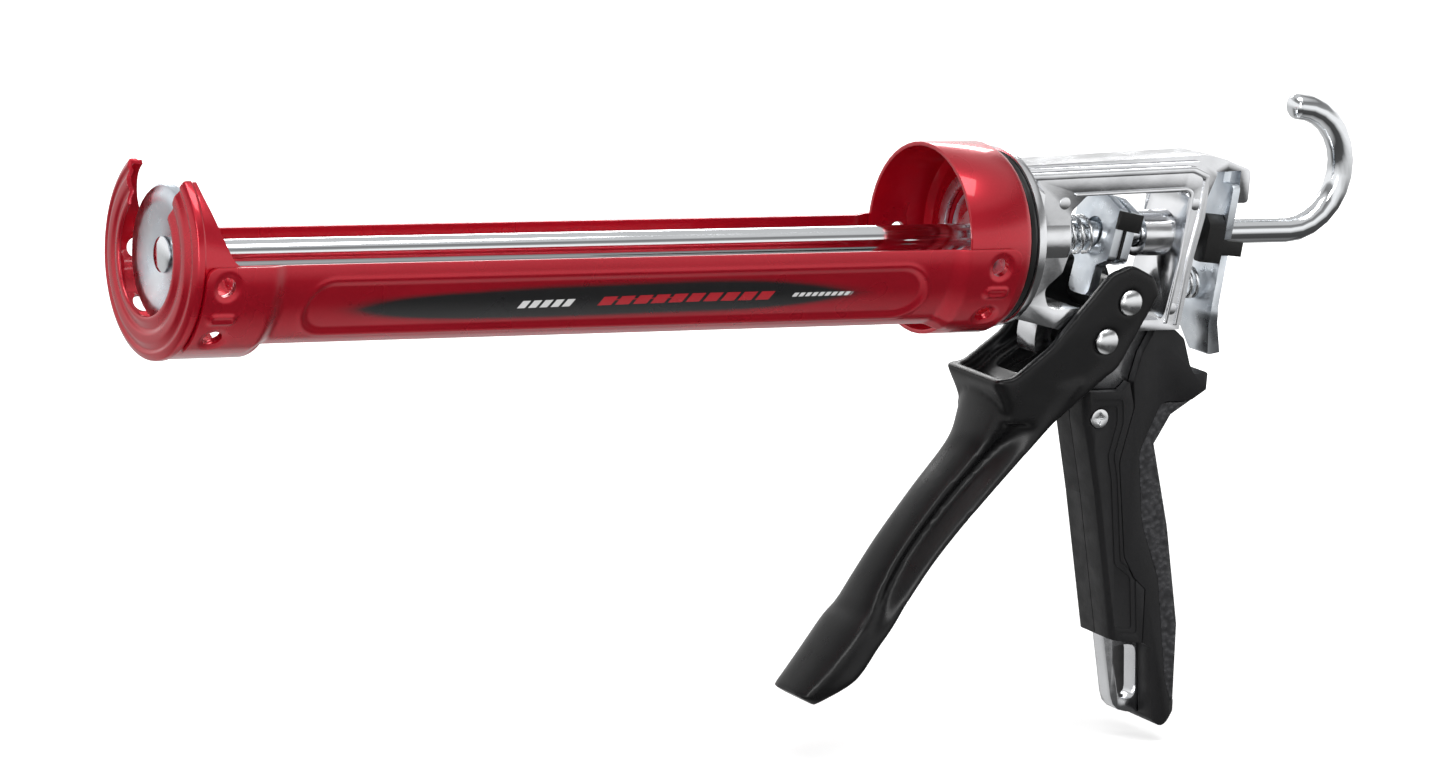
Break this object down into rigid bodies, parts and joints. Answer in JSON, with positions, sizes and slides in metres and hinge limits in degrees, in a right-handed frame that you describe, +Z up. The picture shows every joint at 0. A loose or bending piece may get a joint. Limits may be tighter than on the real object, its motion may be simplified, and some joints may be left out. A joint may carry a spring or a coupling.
{
  "type": "caulking gun",
  "caption": "Skeleton caulking gun: half-open swivelling red barrel, hooked push rod and piston, friction drive, black trigger, brake plate and padded grip.",
  "frame": {"origin": "on the push rod's axis, in the flat front face of the piston's rivet, with the rod fully forward", "axes": "+X along the push rod from muzzle to hook, +Z up with the grip hanging down, +Y to the tool's right-hand side seen from behind the grip looking to the muzzle, which is the far side of the picture"},
  "size_m": [0.4104, 0.0608, 0.1951],
  "materials": {
    "red_paint": "metallic gloss",
    "cast_aluminium": "die cast, lightly polished",
    "zinc_plate": "bright zinc plated",
    "chrome_rod": "polished",
    "spring_steel": "bright drawn wire",
    "pin_steel": "polished",
    "black_paint": "satin",
    "black_plastic": "satin",
    "grip_plastic": "satin",
    "grip_rubber": "pebbled"
  },
  "bodies": {
    "frame": {"frame_casting": "cast_aluminium", "swivel_washer": "black_plastic", "swivel_retainer": "zinc_plate", "retainer_screw_1": "zinc_plate", "retainer_screw_2": "zinc_plate", "retainer_screw_3": "zinc_plate", "pivot_pin": "pin_steel", "drive_spring": "spring_steel", "brake_spring": "spring_steel", "grip_cover_left": "grip_plastic", "grip_cover_right": "grip_plastic", "grip_spine": "grip_plastic", "grip_pad": "grip_rubber", "grip_screw": "pin_steel", "grip_nut": "pin_steel"},
    "barrel": {"front_cup": "red_paint", "rail_left": "red_paint", "rail_right": "red_paint", "rear_ring": "red_paint"},
    "piston": {"piston_plate": "zinc_plate", "piston_backing_washer": "zinc_plate"},
    "rod": {"push_rod": "chrome_rod"},
    "trigger": {"trigger": "black_paint", "drive_pin": "pin_steel", "drive_roller": "black_plastic"},
    "drive": {"drive_plate_front": "zinc_plate", "drive_plate_rear": "zinc_plate", "drive_plate_clip": "black_plastic"},
    "brake": {"brake_plate": "zinc_plate"},
    "drip": {"drip_switch": "black_plastic"}
  },
  "joints": [
    {"name": "barrel_spin", "type": "hinge", "parent": "frame", "child": "barrel", "pos_m": [0.2728, 0, 0], "axis": [1, 0, 0], "continuous": true},
    {"name": "rod_slide", "type": "slide", "parent": "frame", "child": "piston", "axis": [1, 0, 0], "range_m": [0, 0.245]},
    {"name": "rod_turn", "type": "hinge", "parent": "piston", "child": "rod", "pos_m": [0, 0, 0], "axis": [1, 0, 0], "continuous": true},
    {"name": "trigger_pull", "type": "hinge", "parent": "frame", "child": "trigger", "pos_m": [0.31, 0, -0.0301], "axis": [0, -1, 0], "range_deg": [0, 36], "stiffness_Nm_per_rad": 0.5, "springref_deg": -34.38},
    {"name": "drive_slide", "type": "slide", "parent": "frame", "child": "drive", "axis": [-1, 0, 0], "range_m": [0, 0.0085], "deforming": ["drive_spring"]},
    {"name": "brake_release", "type": "hinge", "parent": "frame", "child": "brake", "pos_m": [0.3563, 0, 0.0193], "axis": [0, 1, 0], "range_deg": [0, 6], "stiffness_Nm_per_rad": 0.3, "springref_deg": -11.46, "deforming": ["brake_spring"]},
    {"name": "drip_switch_slide", "type": "slide", "parent": "brake", "child": "drip", "axis": [0, -1, 0], "range_m": [0, 0.003]}
  ],
  "couplings": [
    {"joint": "drive_slide", "follows": "trigger_pull", "m_per_rad": 0.0132}
  ]
}
